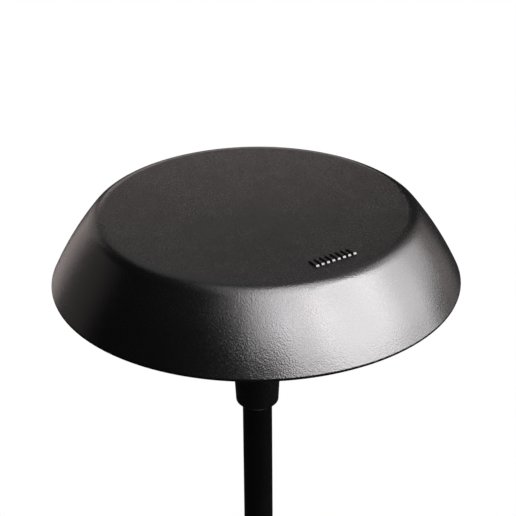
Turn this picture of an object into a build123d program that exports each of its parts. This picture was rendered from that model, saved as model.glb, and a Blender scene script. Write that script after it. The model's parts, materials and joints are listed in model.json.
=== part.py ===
from build123d import *
import math
import os

# A garden path lamp. A flared, flat-topped shade sits on a tapered neck, and the head turns on a
# slim stem that a round foot plate carries. Light leaves through an opal tube under the shade.
# Millimetres. +Z is up, z = 0 is the floor, and the stem's axis is x = y = 0. The cable comes in
# from +Y, the back.

# Driving dimensions
TOP_FACE_HEIGHT = 340.0

SHADE_HEIGHT = 36.7
RIM_CORNER_RADIUS = 100.71  # where side and lower edge would meet; rounded, the edge reaches 100
TOP_CORNER_RADIUS = 78.0  # where side and top face would meet
SIDE_BULGE = 1.47
TOP_ROUNDING = 9.0
RIM_ROUNDING = 1.3
INNER_RIM_ROUNDING = 0.3
SHADE_WALL = 2.0
BAR_COUNT = 8
BAR_WIDTH = 1.5
BAR_LENGTH = 6.5
BAR_PITCH = 3.0
BAR_HEIGHT = 0.8  # above the top face
BAR_ROUNDING = 0.15
BAR_SLOPE = 0.65  # height and length of the sloped front end
BAR_RADIUS = 62.4
BAR_ANGLE = 34.0  # from the front, -Y, towards +X

LINER_GAP = 0.3
LINER_WALL = 0.8
LINER_LIFT = 4.0  # from the shade's lower edge to the liner's

HUB_FLANGE_RADIUS = 24.0
HUB_FLANGE_THICKNESS = 3.0
HUB_BOSS_RADIUS = 15.0
HUB_BOSS_HEIGHT = 8.0
HUB_BOSS_CHAMFER = 0.8
HUB_RECESS_DEPTH = 4.0
HUB_ROOF = 1.2  # metal left above the tie rod's blind hole
STUD_CIRCLE_RADIUS = 19.0
STUD_LENGTH = 7.2
STUD_ANGLES = (90.0, 210.0, 330.0)
STUD_HOLE_RADIUS = 1.7

NECK_BOTTOM_Z = 232.35
NECK_TOP_Z = 309.4
NECK_BOTTOM_RADIUS = 10.75
NECK_TAPER = 0.0531  # radius gained per millimetre of height
NECK_ROUNDING = 1.6
NECK_BORE_RADIUS = 6.05
NECK_BORE_DEPTH = 32.0
WEB_TOP_Z = 268.0
CHAMBER_RADIUS = 10.8
SEAT_Z = 300.0
SEAT_RADIUS = 12.5

TUBE_RADIUS = 12.3  # the diffuser, its two seals and the lamp board
TUBE_BORE_RADIUS = 10.6
SEAL_THICKNESS = 1.0
PLATE_THICKNESS = 4.0
BOARD_THICKNESS = 1.6
LED_CIRCLE_RADIUS = 8.0
LED_COUNT = 6
LED_SIZE = (2.8, 3.5, 0.8)
ROD_HOLE_RADIUS = 2.2
WIRE_PLACE = (3.6, 6.4)
WIRE_RADIUS = 0.6
WIRE_HOLE_RADIUS = 0.9
BOARD_SCREW_ANGLES = (0.0, 180.0)

DRIVER_FACE_Y = 4.6
DRIVER_WIDTH = 18.0
DRIVER_BOTTOM_Z = 272.0
DRIVER_BOARD_THICKNESS = 1.2

STEM_RADIUS = 7.5
STEM_BORE_RADIUS = 6.0
WASHER_THICKNESS = 1.6
WASHER_GAP = 0.1
WASHER_ROUNDING = 1.0
SPIGOT_RADIUS = 6.0
SPIGOT_BOTTOM_Z = 212.0
SPIGOT_TOP_Z = 262.0
LOCK_GROOVE_Z = 245.0
LOCK_GROOVE_WIDTH = 3.0
LOCK_GROOVE_RADIUS = 4.9
LOCK_TIP_RADIUS = 1.25
LOCK_TIP_GAP = 0.2  # between the tip and the groove's floor
STOP_LAND_ANGLE = 20.0  # uncut part of the groove, at the front
RING_GROOVE_Z = 257.0
RING_GROOVE_WIDTH = 2.4
RING_GROOVE_RADIUS = 4.2
O_RING_SECTION_RADIUS = 0.9

LEAD_RADIUS = 2.5
LEAD_HOLE_RADIUS = 3.2
LEAD_BOTTOM_Z = 10.0
LEAD_TOP_Z = 269.0
CORE_RADIUS = 0.8
CORE_OFFSET = 1.5

PAD_THICKNESS = 1.5
PAD_RADIUS = 44.0
PAD_HOLE_RADIUS = 4.5
FOOT_RADIUS = 46.0
FOOT_THICKNESS = 10.0
FOOT_ROUNDING = 2.0
FIXING_CIRCLE_DIAMETER = 72.0
FIXING_HOLE_RADIUS = 2.6
FIXING_ANGLES = (30.0, 150.0, 270.0)
CHANNEL_WIDTH = 12.0
CHANNEL_ROOF = 2.0
INLET_RADIUS = 3.0
INLET_LENGTH = 5.8
INLET_FACE_Y = 45.3
TERMINAL_FRONT_Y = 9.0
TERMINAL_BACK_Y = 21.0
TERMINAL_WIDTH = 10.0
TERMINAL_GAP = 1.0  # the block's underside stays this far above the foot plate's
TERMINAL_Z = 6.0
TERMINAL_SCREW_Y = (12.0, 18.0)

SOCKET_FLANGE_RADIUS = 18.0
SOCKET_FLANGE_THICKNESS = 4.0
SOCKET_FLOOR = 2.0
SOCKET_HEIGHT = 26.0
SOCKET_LOW_RADIUS = 11.5
SOCKET_TOP_RADIUS = 10.6
SOCKET_ROUNDING = 0.8
SOCKET_CORNER_ROUNDING = 2.0
SOCKET_SCREW_CIRCLE_RADIUS = 13.5
SET_SCREW_ANGLES = (30.0, 150.0)
SET_SCREW_Z = 29.0

THREAD_GAP = 0.05  # radial gap between a screw and its hole
M4_RADIUS = 2.0
M3_RADIUS = 1.5
M2_RADIUS = 1.0
M4_NUT = (7.0, 3.2)  # across flats, height
M3_NUT = (5.5, 2.4)
M4_KEY = 2.0  # across flats of a set screw's key
M2_KEY = 1.3
COUNTERSUNK_KEY = 2.5
M2_HEAD_RADIUS = 1.9
M2_HEAD_HEIGHT = 1.3
COUNTERSINK_RADIUS = 3.75

# Heights that follow from them
TOP_Z = TOP_FACE_HEIGHT
RIM_Z = TOP_Z - SHADE_HEIGHT
HUB_TOP_Z = TOP_Z - SHADE_WALL - LINER_WALL
HUB_FLANGE_Z = HUB_TOP_Z - HUB_FLANGE_THICKNESS
HUB_BOTTOM_Z = HUB_FLANGE_Z - HUB_BOSS_HEIGHT
HUB_RECESS_Z = HUB_BOTTOM_Z + HUB_RECESS_DEPTH
PLATE_TOP_Z = SEAT_Z + PLATE_THICKNESS
BOARD_TOP_Z = PLATE_TOP_Z + BOARD_THICKNESS
STEM_TOP_Z = NECK_BOTTOM_Z - WASHER_GAP - WASHER_THICKNESS
FOOT_TOP_Z = PAD_THICKNESS + FOOT_THICKNESS
CHANNEL_ROOF_Z = FOOT_TOP_Z - CHANNEL_ROOF
INLET_Z = (PAD_THICKNESS + CHANNEL_ROOF_Z) / 2


def disc(radius, z_low, z_high):
    """Upright solid cylinder on the stem's axis."""
    middle = (z_low + z_high) / 2
    return Pos(0, 0, middle) * Cylinder(radius, z_high - z_low)


def ring(outer_radius, inner_radius, z_low, z_high):
    """Upright tube on the stem's axis."""
    return disc(outer_radius, z_low, z_high) - disc(inner_radius, z_low, z_high)


def block(x_range, y_range, z_range):
    """Box between pairs of coordinates."""
    sizes = [high - low for low, high in (x_range, y_range, z_range)]
    middles = [(high + low) / 2 for low, high in (x_range, y_range, z_range)]
    return Pos(*middles) * Box(*sizes)


def nut(across_flats, hole_radius, z_low, z_high):
    """Hexagonal nut with two flats facing the front and back."""
    outline = RegularPolygon(across_flats / 2, 6, major_radius=False, rotation=30)
    body = extrude(Pos(0, 0, z_low) * outline, z_high - z_low)
    return body - disc(hole_radius, z_low, z_high)


def hex_key_hole(across_flats, z_low, z_high):
    """Hexagonal pocket for a key."""
    outline = RegularPolygon(across_flats / 2, 6, major_radius=False)
    return extrude(Pos(0, 0, z_low) * outline, z_high - z_low)


def on_circle(shape, radius, angles):
    """Copies of a shape made on the axis, moved out to a circle; angles are from +X."""
    return [Rot(0, 0, angle) * Pos(radius, 0, 0) * shape for angle in angles]


def pointing_out(shape, z, angle):
    """Turns a shape made along +Z from the axis so that it points outwards at a height."""
    return Rot(0, 0, angle) * Pos(0, 0, z) * Rot(0, 90, 0) * shape


def save(name, *shapes):
    """Writes one node; identical loose pieces share it as separate solids."""
    solids = [solid for shape in shapes for solid in shape.solids()]
    export_step(Compound(children=solids), f"parts/{name}.step")


def bell(side_inset, top_inset):
    """Flared solid that lies inside the shade's outer skin by the two insets."""
    slope = math.atan((RIM_CORNER_RADIUS - TOP_CORNER_RADIUS) / SHADE_HEIGHT)
    shift = side_inset / math.cos(slope)
    rim_r = RIM_CORNER_RADIUS - shift
    corner_r = TOP_CORNER_RADIUS - shift + top_inset * math.tan(slope)
    corner_z = TOP_Z - top_inset
    middle_r = (rim_r + corner_r) / 2 + SIDE_BULGE * math.cos(slope)
    middle_z = (RIM_Z + corner_z) / 2 + SIDE_BULGE * math.sin(slope)
    side = ThreePointArc((rim_r, RIM_Z), (middle_r, middle_z), (corner_r, corner_z))
    rest = Polyline((corner_r, corner_z), (0, corner_z), (0, RIM_Z), (rim_r, RIM_Z))
    face = make_face(Plane.XZ * (side + rest))
    corner = face.vertices().sort_by_distance((corner_r, 0, corner_z))[0]
    face = fillet(corner, TOP_ROUNDING - side_inset)
    return revolve(face, Axis.Z)


def neck_radius(z):
    return NECK_BOTTOM_RADIUS + NECK_TAPER * (z - NECK_BOTTOM_Z)


# Head


def make_shade():
    """Flared metal shell, with a row of plain raised bars on the top face."""
    shell = bell(0, 0) - bell(SHADE_WALL, SHADE_WALL)
    edges = shell.edges().filter_by_position(Axis.Z, RIM_Z - 0.01, RIM_Z + 0.01)
    shell = fillet(edges.sort_by(SortBy.LENGTH)[-1], RIM_ROUNDING)
    edges = shell.edges().filter_by_position(Axis.Z, RIM_Z - 0.01, RIM_Z + 0.01)
    shell = fillet(edges.sort_by(SortBy.LENGTH)[0], INNER_RIM_ROUNDING)
    bar = Box(BAR_WIDTH, BAR_LENGTH, 2 * BAR_HEIGHT)
    bar = chamfer(bar.edges().group_by(Axis.Z)[-1].sort_by(Axis.Y)[0], BAR_SLOPE)
    bar = fillet(bar.edges().group_by(Axis.Z)[-1], BAR_ROUNDING)
    place = Pos(0, 0, TOP_Z) * Rot(0, 0, BAR_ANGLE) * Pos(0, -BAR_RADIUS, 0)
    for index in range(BAR_COUNT):
        x = (index - (BAR_COUNT - 1) / 2) * BAR_PITCH
        shell += place * Pos(x, 0, 0) * bar
    return shell


def make_shade_studs():
    top = TOP_Z - SHADE_WALL
    return on_circle(disc(M3_RADIUS, top - STUD_LENGTH, top), STUD_CIRCLE_RADIUS, STUD_ANGLES)


def stud_holes(z_low, z_high):
    return on_circle(disc(STUD_HOLE_RADIUS, z_low, z_high), STUD_CIRCLE_RADIUS, STUD_ANGLES)


def make_reflector():
    """Thin liner inside the shade, clamped between it and the hub."""
    outside = SHADE_WALL + LINER_GAP
    liner = bell(outside, SHADE_WALL) - bell(outside + LINER_WALL, SHADE_WALL + LINER_WALL)
    liner -= disc(RIM_CORNER_RADIUS, RIM_Z - 1, RIM_Z + LINER_LIFT)
    return liner - stud_holes(HUB_TOP_Z - 1, TOP_Z)


def make_hub():
    """Flanged disc that takes the diffuser's top end and the tie rod's thread."""
    boss = disc(HUB_BOSS_RADIUS, HUB_BOTTOM_Z, HUB_FLANGE_Z)
    boss = chamfer(boss.edges().group_by(Axis.Z)[0], HUB_BOSS_CHAMFER)
    body = disc(HUB_FLANGE_RADIUS, HUB_FLANGE_Z, HUB_TOP_Z) + boss
    body -= disc(SEAT_RADIUS, HUB_BOTTOM_Z, HUB_RECESS_Z)
    body -= disc(M4_RADIUS + THREAD_GAP, HUB_RECESS_Z, HUB_TOP_Z - HUB_ROOF)
    return body - stud_holes(HUB_FLANGE_Z, HUB_TOP_Z)


def make_hub_nuts():
    across_flats, height = M3_NUT
    body = nut(across_flats, M3_RADIUS + THREAD_GAP, HUB_FLANGE_Z - height, HUB_FLANGE_Z)
    return on_circle(body, STUD_CIRCLE_RADIUS, STUD_ANGLES)


def make_neck():
    """Tapered tube: spigot bore below, driver chamber, then the seat for plate and diffuser."""
    height = NECK_TOP_Z - NECK_BOTTOM_Z
    body = Cone(NECK_BOTTOM_RADIUS, neck_radius(NECK_TOP_Z), height)
    body = Pos(0, 0, NECK_BOTTOM_Z + height / 2) * body
    body = fillet(body.edges().group_by(Axis.Z)[0], NECK_ROUNDING)
    body = fillet(body.edges().group_by(Axis.Z)[-1], 0.6)
    bore_top = NECK_BOTTOM_Z + NECK_BORE_DEPTH
    body -= disc(NECK_BORE_RADIUS, NECK_BOTTOM_Z, bore_top)
    body -= disc(LEAD_HOLE_RADIUS, bore_top, WEB_TOP_Z)
    body -= disc(CHAMBER_RADIUS, WEB_TOP_Z, SEAT_Z)
    body -= disc(SEAT_RADIUS, SEAT_Z, NECK_TOP_Z)
    screw_hole = Pos(0, 0, 10) * Cylinder(M4_RADIUS + THREAD_GAP, 10)
    return body - pointing_out(screw_hole, LOCK_GROOVE_Z, 90)


def make_lock_screw():
    """Set screw whose plain tip runs in the spigot's groove."""
    tip_start = LOCK_GROOVE_RADIUS + LOCK_TIP_GAP
    thread_start = NECK_BORE_RADIUS + 0.15
    end = neck_radius(LOCK_GROOVE_Z) - 0.5
    body = disc(LOCK_TIP_RADIUS, tip_start, thread_start) + disc(M4_RADIUS, thread_start, end)
    body -= hex_key_hole(M4_KEY, end - 1.8, end)
    return pointing_out(body, LOCK_GROOVE_Z, 90)


def wire_holes(z_low, z_high):
    x, y = WIRE_PLACE
    return [Pos(side * x, y, 0) * disc(WIRE_HOLE_RADIUS, z_low, z_high) for side in (-1, 1)]


def drilled_disc(radius, z_low, z_high):
    """Disc with the holes that lamp board and plate share: rod, two screws and two wires."""
    screw_hole = disc(M2_RADIUS + THREAD_GAP, z_low, z_high)
    body = ring(radius, ROD_HOLE_RADIUS, z_low, z_high)
    body -= on_circle(screw_hole, LED_CIRCLE_RADIUS, BOARD_SCREW_ANGLES)
    return body - wire_holes(z_low, z_high)


def make_led_plate():
    """Plug that closes the driver chamber and carries the lamp board's heat to the neck."""
    return drilled_disc(SEAT_RADIUS - THREAD_GAP, SEAT_Z, PLATE_TOP_Z)


def make_led_board():
    return drilled_disc(TUBE_RADIUS, PLATE_TOP_Z, BOARD_TOP_Z)


def make_leds():
    length, width, height = LED_SIZE
    led = Pos(0, 0, BOARD_TOP_Z + height / 2) * Box(length, width, height)
    step = 360 / LED_COUNT
    return on_circle(led, LED_CIRCLE_RADIUS, [(index + 0.5) * step for index in range(LED_COUNT)])


def make_board_screws():
    head_top = BOARD_TOP_Z + M2_HEAD_HEIGHT
    body = disc(M2_RADIUS, SEAT_Z + 0.5, BOARD_TOP_Z) + disc(M2_HEAD_RADIUS, BOARD_TOP_Z, head_top)
    body -= hex_key_hole(M2_KEY, head_top - 0.8, head_top)
    return on_circle(body, LED_CIRCLE_RADIUS, BOARD_SCREW_ANGLES)


def make_led_wires():
    x, y = WIRE_PLACE
    wire = disc(WIRE_RADIUS, SEAT_Z - 9, BOARD_TOP_Z + 0.4)
    return [Pos(side * x, y, 0) * wire for side in (-1, 1)]


def make_tie_rod():
    """Threaded rod from the nut under the plate into the hub."""
    return disc(M4_RADIUS, SEAT_Z - M4_NUT[1] - 1, HUB_TOP_Z - HUB_ROOF - 0.6)


def make_tie_nut():
    across_flats, height = M4_NUT
    return nut(across_flats, M4_RADIUS + THREAD_GAP, SEAT_Z - height, SEAT_Z)


def make_driver():
    """Upright circuit board in the neck's chamber and the pieces soldered to its front."""
    half = DRIVER_WIDTH / 2
    face = DRIVER_FACE_Y
    low = DRIVER_BOTTOM_Z
    save("driver_board", block((-half, half), (face, face + DRIVER_BOARD_THICKNESS), (low, SEAT_Z)))
    save("driver_plug", block((-4, 4), (-1.5, face), (low, low + 5)))
    save("driver_chip", block((-6.5, -1.5), (face - 1.5, face), (low + 6.5, low + 10.5)))
    inductor = Pos(-4, face - 2.5, low + 16) * Rot(90, 0, 0) * Cylinder(3.5, 5)
    save("driver_inductor", inductor)
    capacitor = Rot(90, 0, 0) * Cylinder(3, 7)
    save("driver_capacitors", *[Pos(4.5, face - 3.5, low + z) * capacitor for z in (11, 18)])


def make_upper_cores():
    core = disc(CORE_RADIUS, LEAD_TOP_Z + THREAD_GAP, DRIVER_BOTTOM_Z)
    return [Pos(side * CORE_OFFSET, 0, 0) * core for side in (-1, 1)]


def make_head():
    save("shade", make_shade())
    save("shade_studs", *make_shade_studs())
    save("reflector", make_reflector())
    save("hub", make_hub())
    save("hub_nuts", *make_hub_nuts())
    seal_z = HUB_RECESS_Z - SEAL_THICKNESS
    diffuser_z = BOARD_TOP_Z + SEAL_THICKNESS
    save("upper_seal", ring(TUBE_RADIUS, TUBE_BORE_RADIUS, seal_z, HUB_RECESS_Z))
    save("diffuser", ring(TUBE_RADIUS, TUBE_BORE_RADIUS, diffuser_z, seal_z))
    save("lower_seal", ring(TUBE_RADIUS, TUBE_BORE_RADIUS, BOARD_TOP_Z, diffuser_z))
    save("neck", make_neck())
    save("lock_screw", make_lock_screw())
    save("led_plate", make_led_plate())
    save("led_board", make_led_board())
    save("leds", *make_leds())
    save("board_screws", *make_board_screws())
    save("led_wires", *make_led_wires())
    save("tie_rod", make_tie_rod())
    save("tie_nut", make_tie_nut())
    make_driver()
    save("upper_cores", *make_upper_cores())


# Stand


def make_swivel_washer():
    """Flat bearing ring on the stem's top, rounded at its upper outer edge."""
    body = ring(STEM_RADIUS, NECK_BORE_RADIUS, STEM_TOP_Z, NECK_BOTTOM_Z - WASHER_GAP)
    upper_edges = body.edges().group_by(Axis.Z)[-1]
    return fillet(upper_edges.sort_by(SortBy.LENGTH)[-1], WASHER_ROUNDING)


def make_spigot():
    """Turned piece that the neck turns on; the groove stops short of a full turn at the front."""
    body = disc(SPIGOT_RADIUS, SPIGOT_BOTTOM_Z, SPIGOT_TOP_Z)
    body = chamfer(body.edges().group_by(Axis.Z)[-1], 0.6)
    body -= disc(LEAD_HOLE_RADIUS, SPIGOT_BOTTOM_Z, SPIGOT_TOP_Z)
    section = Rectangle(2, LOCK_GROOVE_WIDTH, align=(Align.MIN, Align.CENTER))
    section = Pos(LOCK_GROOVE_RADIUS, 0, LOCK_GROOVE_Z) * Rot(90, 0, 0) * section
    groove = revolve(section, Axis.Z, revolution_arc=360 - STOP_LAND_ANGLE)
    body -= Rot(0, 0, STOP_LAND_ANGLE / 2 - 90) * groove
    ring_low = RING_GROOVE_Z - RING_GROOVE_WIDTH / 2
    ring_high = RING_GROOVE_Z + RING_GROOVE_WIDTH / 2
    return body - ring(SPIGOT_RADIUS + 1, RING_GROOVE_RADIUS, ring_low, ring_high)


def make_spigot_o_ring():
    return Pos(0, 0, RING_GROOVE_Z) * Torus(SPIGOT_RADIUS - O_RING_SECTION_RADIUS, O_RING_SECTION_RADIUS)


def make_lower_cores():
    """The lead's two cores, bent to the back and into the terminal block."""
    path = FilletPolyline(
        (0, 0, LEAD_BOTTOM_Z), (0, 0, TERMINAL_Z), (0, TERMINAL_FRONT_Y + 3, TERMINAL_Z), radius=3
    )
    core = sweep(Plane(path @ 0, z_dir=path % 0) * Circle(CORE_RADIUS), path=path)
    return [Pos(side * CORE_OFFSET, 0, 0) * core for side in (-1, 1)]


def make_base_socket():
    """Flanged socket that the stem stands in."""
    bottom = FOOT_TOP_Z
    flange_top = bottom + SOCKET_FLANGE_THICKNESS
    top = bottom + SOCKET_HEIGHT
    flange = disc(SOCKET_FLANGE_RADIUS, bottom, flange_top)
    flange = fillet(flange.edges().group_by(Axis.Z)[-1], SOCKET_ROUNDING)
    tower = Cone(SOCKET_LOW_RADIUS, SOCKET_TOP_RADIUS, top - flange_top)
    tower = fillet(tower.edges().group_by(Axis.Z)[-1], SOCKET_ROUNDING)
    body = flange + Pos(0, 0, (flange_top + top) / 2) * tower
    circles = body.edges().filter_by(GeomType.CIRCLE)
    corner = circles.filter_by(lambda edge: abs(edge.radius - SOCKET_LOW_RADIUS) < 0.01)
    body = fillet(corner, SOCKET_CORNER_ROUNDING)
    body -= disc(STEM_RADIUS + THREAD_GAP, bottom + SOCKET_FLOOR, top)
    body -= disc(LEAD_HOLE_RADIUS, bottom, bottom + SOCKET_FLOOR)
    screw_hole = disc(M4_RADIUS + THREAD_GAP, bottom, flange_top - 0.5)
    body -= on_circle(screw_hole, SOCKET_SCREW_CIRCLE_RADIUS, FIXING_ANGLES)
    set_hole = Pos(0, 0, 10) * Cylinder(M4_RADIUS + THREAD_GAP, 10)
    for angle in SET_SCREW_ANGLES:
        body -= pointing_out(set_hole, SET_SCREW_Z, angle)
    return body


def make_stem_set_screws():
    end = SOCKET_TOP_RADIUS - 0.2
    body = disc(M4_RADIUS, STEM_RADIUS + 0.15, end) - hex_key_hole(M4_KEY, end - 1.5, end)
    return [pointing_out(body, SET_SCREW_Z, angle) for angle in SET_SCREW_ANGLES]


def make_socket_screw():
    """Countersunk screw, head down, flush with the foot plate's underside."""
    bottom = PAD_THICKNESS
    head_height = COUNTERSINK_RADIUS - M4_RADIUS
    head = Cone(COUNTERSINK_RADIUS, M4_RADIUS, head_height)
    body = Pos(0, 0, bottom + head_height / 2) * head
    body += disc(M4_RADIUS, bottom + head_height, FOOT_TOP_Z + SOCKET_FLANGE_THICKNESS - 0.8)
    return body - hex_key_hole(COUNTERSUNK_KEY, bottom, bottom + 1.5)


def channel(z_low, z_high):
    """Cable channel from the centre out through the back edge."""
    half = CHANNEL_WIDTH / 2
    return block((-half, half), (0, FOOT_RADIUS + 1), (z_low, z_high)) + disc(half, z_low, z_high)


def make_base_plate():
    """Round foot plate with fixing holes and a cable channel under it."""
    body = disc(FOOT_RADIUS, PAD_THICKNESS, FOOT_TOP_Z)
    body = fillet(body.edges().group_by(Axis.Z)[-1], FOOT_ROUNDING)
    body -= channel(PAD_THICKNESS, CHANNEL_ROOF_Z)
    body -= disc(LEAD_HOLE_RADIUS, CHANNEL_ROOF_Z, FOOT_TOP_Z)
    fixing = disc(FIXING_HOLE_RADIUS, PAD_THICKNESS, FOOT_TOP_Z)
    body -= on_circle(fixing, FIXING_CIRCLE_DIAMETER / 2, FIXING_ANGLES)
    sink_height = COUNTERSINK_RADIUS - M4_RADIUS
    hole = disc(M4_RADIUS + THREAD_GAP, PAD_THICKNESS, FOOT_TOP_Z)
    hole += Pos(0, 0, PAD_THICKNESS + sink_height / 2) * Cone(
        COUNTERSINK_RADIUS + THREAD_GAP, M4_RADIUS + THREAD_GAP, sink_height
    )
    return body - on_circle(hole, SOCKET_SCREW_CIRCLE_RADIUS, FIXING_ANGLES)


def make_base_pad():
    """Rubber pad, open along the channel and round the fixing holes."""
    body = disc(PAD_RADIUS, 0, PAD_THICKNESS) - channel(0, PAD_THICKNESS)
    hole = disc(PAD_HOLE_RADIUS, 0, PAD_THICKNESS)
    return body - on_circle(hole, FIXING_CIRCLE_DIAMETER / 2, FIXING_ANGLES)


def make_cable_grommet():
    """Rubber inlet for the supply cable, in the channel's mouth."""
    half = CHANNEL_WIDTH / 2
    y_low = INLET_FACE_Y - INLET_LENGTH
    body = block((-half, half), (y_low, INLET_FACE_Y), (PAD_THICKNESS, CHANNEL_ROOF_Z))
    middle = INLET_FACE_Y - INLET_LENGTH / 2
    return body - Pos(0, middle, INLET_Z) * Rot(90, 0, 0) * Cylinder(INLET_RADIUS, INLET_LENGTH)


def make_terminal_block():
    """Two-pole block: the cores enter from the front, the supply cable's from the back."""
    half = TERMINAL_WIDTH / 2
    bottom = PAD_THICKNESS + TERMINAL_GAP
    body = block((-half, half), (TERMINAL_FRONT_Y, TERMINAL_BACK_Y), (bottom, CHANNEL_ROOF_Z))
    length = TERMINAL_BACK_Y - TERMINAL_FRONT_Y
    middle = (TERMINAL_FRONT_Y + TERMINAL_BACK_Y) / 2
    for side in (-1, 1):
        x = side * CORE_OFFSET
        body -= Pos(x, middle, TERMINAL_Z) * Rot(90, 0, 0) * Cylinder(CORE_RADIUS + 0.1, length)
        for y in TERMINAL_SCREW_Y:
            body -= Pos(x, y, 0) * disc(M2_RADIUS + 0.1, bottom, TERMINAL_Z)
    return body


def make_terminal_screws():
    """Slotted screws that press on the cores."""
    bottom = PAD_THICKNESS + TERMINAL_GAP + 0.2
    screw = disc(M2_RADIUS, bottom, TERMINAL_Z - CORE_RADIUS)
    screw -= block((-1.1, 1.1), (-0.2, 0.2), (bottom, bottom + 0.6))
    return [Pos(side * CORE_OFFSET, y, 0) * screw for side in (-1, 1) for y in TERMINAL_SCREW_Y]


def make_stand():
    save("swivel_washer", make_swivel_washer())
    save("spigot", make_spigot())
    save("spigot_o_ring", make_spigot_o_ring())
    save("stem", ring(STEM_RADIUS, STEM_BORE_RADIUS, FOOT_TOP_Z + SOCKET_FLOOR, STEM_TOP_Z))
    save("lead", disc(LEAD_RADIUS, LEAD_BOTTOM_Z, LEAD_TOP_Z))
    save("lower_cores", *make_lower_cores())
    save("base_socket", make_base_socket())
    save("stem_set_screws", *make_stem_set_screws())
    save("socket_screws", *on_circle(make_socket_screw(), SOCKET_SCREW_CIRCLE_RADIUS, FIXING_ANGLES))
    save("base_plate", make_base_plate())
    save("base_pad", make_base_pad())
    save("cable_grommet", make_cable_grommet())
    save("terminal_block", make_terminal_block())
    save("terminal_screws", *make_terminal_screws())


os.makedirs("parts", exist_ok=True)
make_head()
make_stand()
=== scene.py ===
import bmesh
import bpy
import json
import math
from mathutils import Matrix, Quaternion, Vector

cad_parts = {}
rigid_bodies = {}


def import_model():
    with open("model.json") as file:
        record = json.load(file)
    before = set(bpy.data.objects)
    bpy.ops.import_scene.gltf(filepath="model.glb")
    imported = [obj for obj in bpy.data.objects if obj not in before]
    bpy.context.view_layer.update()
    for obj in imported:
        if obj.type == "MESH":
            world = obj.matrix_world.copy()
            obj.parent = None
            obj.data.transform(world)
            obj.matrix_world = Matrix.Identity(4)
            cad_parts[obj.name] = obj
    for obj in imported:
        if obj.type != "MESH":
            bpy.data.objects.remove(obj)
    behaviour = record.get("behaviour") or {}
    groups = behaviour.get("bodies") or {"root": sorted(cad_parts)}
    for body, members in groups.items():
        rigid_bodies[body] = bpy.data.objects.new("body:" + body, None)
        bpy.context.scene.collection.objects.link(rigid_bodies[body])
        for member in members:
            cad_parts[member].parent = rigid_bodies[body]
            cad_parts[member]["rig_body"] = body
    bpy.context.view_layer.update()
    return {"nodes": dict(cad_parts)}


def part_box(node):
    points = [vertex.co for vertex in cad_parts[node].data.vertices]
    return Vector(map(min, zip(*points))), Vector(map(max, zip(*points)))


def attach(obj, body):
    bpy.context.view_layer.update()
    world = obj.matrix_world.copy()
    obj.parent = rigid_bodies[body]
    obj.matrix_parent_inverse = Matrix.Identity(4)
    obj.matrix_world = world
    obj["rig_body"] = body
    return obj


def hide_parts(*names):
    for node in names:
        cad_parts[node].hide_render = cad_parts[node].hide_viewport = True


# Looks of the garden path lamp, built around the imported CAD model. Metres, in the CAD's frame.

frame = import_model()
MM = 0.001
WELD_DISTANCE = 1e-6
WAVE_LENGTH = 0.314  # length of one stripe of a wave texture at scale 1

# Camera: it looks down at the middle of the shade from the front
SHADE_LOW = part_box("shade")[0]
VIEW_CENTRE = Vector((0.0, 0.0, SHADE_LOW.z + 0.40 * MM))
VIEW_DISTANCE = 0.85
VIEW_ELEVATION = math.radians(27.867)
VIEW_AIM_OFFSET = Vector((0.001, 0.0, 0.0100))
VIEW_ROLL = -0.00943
VIEW_LENS = 120.69
VIEW_SENSOR = 36.0

# Studio lights: name, azimuth and elevation in degrees seen from the lamp (0 is the camera's side,
# 90 its right), width and height in metres, radiance and tint of the panel
LIGHT_CENTRE = Vector((0.0, 0.0, 0.32))
LIGHT_DISTANCE = 1.8
WHITE_PANEL = (1.0, 0.97, 0.99)
WARM_PANEL = (1.0, 0.87, 0.85)
STUDIO_LIGHTS = (
    ("key_left", 10.0, 42.0, 0.7, 1.0, 9.5, WHITE_PANEL),
    ("key_mid", 30.0, 27.0, 0.8, 1.0, 13.0, WHITE_PANEL),
    ("key_main", 60.0, 31.0, 1.3, 1.6, 13.0, WHITE_PANEL),
    ("key_edge", 85.0, 30.0, 0.4, 1.6, 7.5, WHITE_PANEL),
    ("key_right", 110.0, 27.0, 1.1, 1.6, 4.0, WHITE_PANEL),
    ("key_top", 52.0, 63.0, 1.2, 1.1, 10.0, WHITE_PANEL),
    ("right_low", 77.0, 14.0, 2.1, 1.9, 5.8, WHITE_PANEL),
    ("right_back", 125.0, 15.0, 1.3, 1.9, 0.6, WARM_PANEL),
    ("top", 0.0, 70.0, 1.1, 1.9, 1.8, WHITE_PANEL),
    ("back", 170.0, 55.0, 2.2, 1.4, 0.5, WHITE_PANEL),
    ("back_low", 185.0, 13.0, 0.9, 0.4, 1.4, WARM_PANEL),
    ("back_left", 215.0, 2.0, 0.8, 1.6, 0.75, WARM_PANEL),
    ("left", 245.0, 5.0, 1.0, 1.0, 0.25, WARM_PANEL),
)
WORLD_STRENGTH = 0.02
FLOOR_RADIUS = 7.0
# Nearer the stem than these the floor's glow is dimmed, a painted shadow.
SHADOW_ZONE = (0.06, 0.19)  # the floor grows plain white between these distances from the stem
UNDER_FOOT_SHADE = (0.044, 0.046)  # the floor's glow stops under the foot between these, a painted shade
DOME_RADIUS = 9.0


# Materials


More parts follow.
